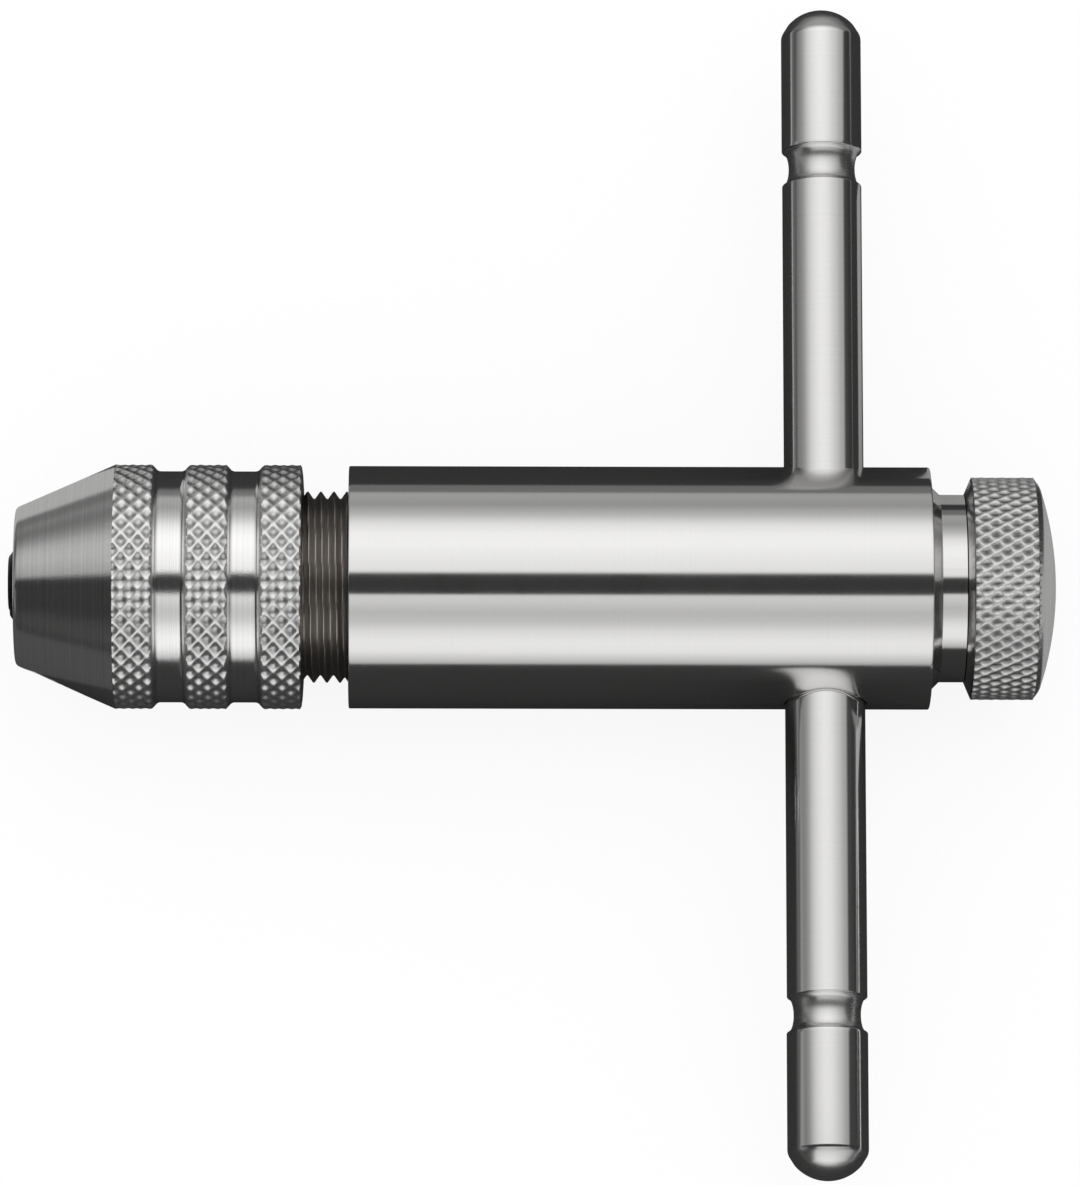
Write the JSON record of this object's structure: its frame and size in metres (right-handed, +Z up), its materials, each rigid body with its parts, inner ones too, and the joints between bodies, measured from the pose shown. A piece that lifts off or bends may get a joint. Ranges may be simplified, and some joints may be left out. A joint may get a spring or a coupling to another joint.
{
  "type": "ratchet tap wrench",
  "caption": "T-handled ratchet tap wrench with a knurled two-jaw chuck, sliding cross bar and a turning selector knob",
  "frame": {"origin": "on the chuck's axis in the plane of the sleeve's nose face, in the mouth where the tap enters", "axes": "+X along the tool from the nose to the selector knob, +Y along the cross bar, +Z up from the surface it lies on"},
  "size_m": [0.0847, 0.097, 0.0198],
  "materials": {
    "turned_steel": "fine turned, bright",
    "knurled_steel": "turned and knurled",
    "ground_steel": "ground and polished",
    "spindle_steel": "screw-cut, oiled and dark",
    "jaw_steel": "hardened, black",
    "hard_steel": "hardened and ground",
    "spring_steel": "drawn wire"
  },
  "bodies": {
    "housing": {"housing_body": "turned_steel", "pawl_pivot_pin": "hard_steel"},
    "spindle": {"spindle": "spindle_steel", "thrust_washer": "hard_steel", "ratchet_wheel": "hard_steel", "wheel_keeper_ring": "spring_steel", "jaw_spring_front": "spring_steel", "jaw_spring_rear": "spring_steel"},
    "cone_ring": {"cone_ring": "hard_steel"},
    "chuck_sleeve": {"chuck_sleeve": "knurled_steel"},
    "jaw_upper": {"jaw_upper": "jaw_steel"},
    "jaw_lower": {"jaw_lower": "jaw_steel"},
    "pawl": {"ratchet_pawl": "hard_steel"},
    "selector": {"selector_drum": "turned_steel", "selector_knob": "knurled_steel", "pawl_plunger_spring": "spring_steel", "selector_click_spring": "spring_steel", "bar_detent_spring": "spring_steel"},
    "pawl_plunger": {"pawl_plunger": "hard_steel"},
    "click_ball": {"selector_click_ball": "hard_steel"},
    "detent_ball": {"bar_detent_ball": "hard_steel"},
    "cross_bar": {"cross_bar": "ground_steel"}
  },
  "joints": [
    {"name": "spindle_turn", "type": "hinge", "parent": "housing", "child": "spindle", "pos_m": [0.0325, 0, 0], "axis": [1, 0, 0], "continuous": true},
    {"name": "sleeve_turn", "type": "hinge", "parent": "cone_ring", "child": "chuck_sleeve", "pos_m": [0.005, 0, 0], "axis": [1, 0, 0], "range_deg": [-1396.9, 540.1]},
    {"name": "ring_travel", "type": "slide", "parent": "spindle", "child": "cone_ring", "axis": [1, 0, 0], "range_m": [-0.00388, 0.0015]},
    {"name": "jaw_upper_slide", "type": "slide", "parent": "spindle", "child": "jaw_upper", "axis": [0, 0, 1], "range_m": [-0.00055, 0.00141], "deforming": ["jaw_spring_front", "jaw_spring_rear"]},
    {"name": "jaw_lower_slide", "type": "slide", "parent": "spindle", "child": "jaw_lower", "axis": [0, 0, -1], "range_m": [-0.00055, 0.00141]},
    {"name": "selector_turn", "type": "hinge", "parent": "housing", "child": "selector", "pos_m": [0.06, 0, 0], "axis": [1, 0, 0], "range_deg": [-25, 25]},
    {"name": "pawl_rock", "type": "hinge", "parent": "housing", "child": "pawl", "pos_m": [0.045, 0, 0.0065], "axis": [1, 0, 0], "range_deg": [-7, 7]},
    {"name": "plunger_travel", "type": "slide", "parent": "selector", "child": "pawl_plunger", "axis": [0, 0, 1], "range_m": [-0.0005, 0], "stiffness_N_per_m": 300, "springref_m": 0.001, "deforming": ["pawl_plunger_spring"]},
    {"name": "click_ball_travel", "type": "slide", "parent": "selector", "child": "click_ball", "axis": [0, 0, 1], "range_m": [0, 0.0004], "stiffness_N_per_m": 300, "springref_m": -0.001, "deforming": ["selector_click_spring"]},
    {"name": "detent_ball_travel", "type": "slide", "parent": "selector", "child": "detent_ball", "axis": [1, 0, 0], "range_m": [-0.00055, 0], "stiffness_N_per_m": 400, "springref_m": 0.001, "deforming": ["bar_detent_spring"]},
    {"name": "bar_slide", "type": "slide", "parent": "housing", "child": "cross_bar", "axis": [0, 1, 0], "range_m": [-0.0351, 0.0351]}
  ],
  "couplings": [
    {"joint": "sleeve_turn", "follows": "ring_travel", "rad_per_m": 6283.2},
    {"joint": "jaw_upper_slide", "follows": "ring_travel", "ratio": -0.36397},
    {"joint": "jaw_lower_slide", "follows": "ring_travel", "ratio": -0.36397},
    {"joint": "pawl_rock", "follows": "selector_turn", "ratio": -0.28}
  ]
}
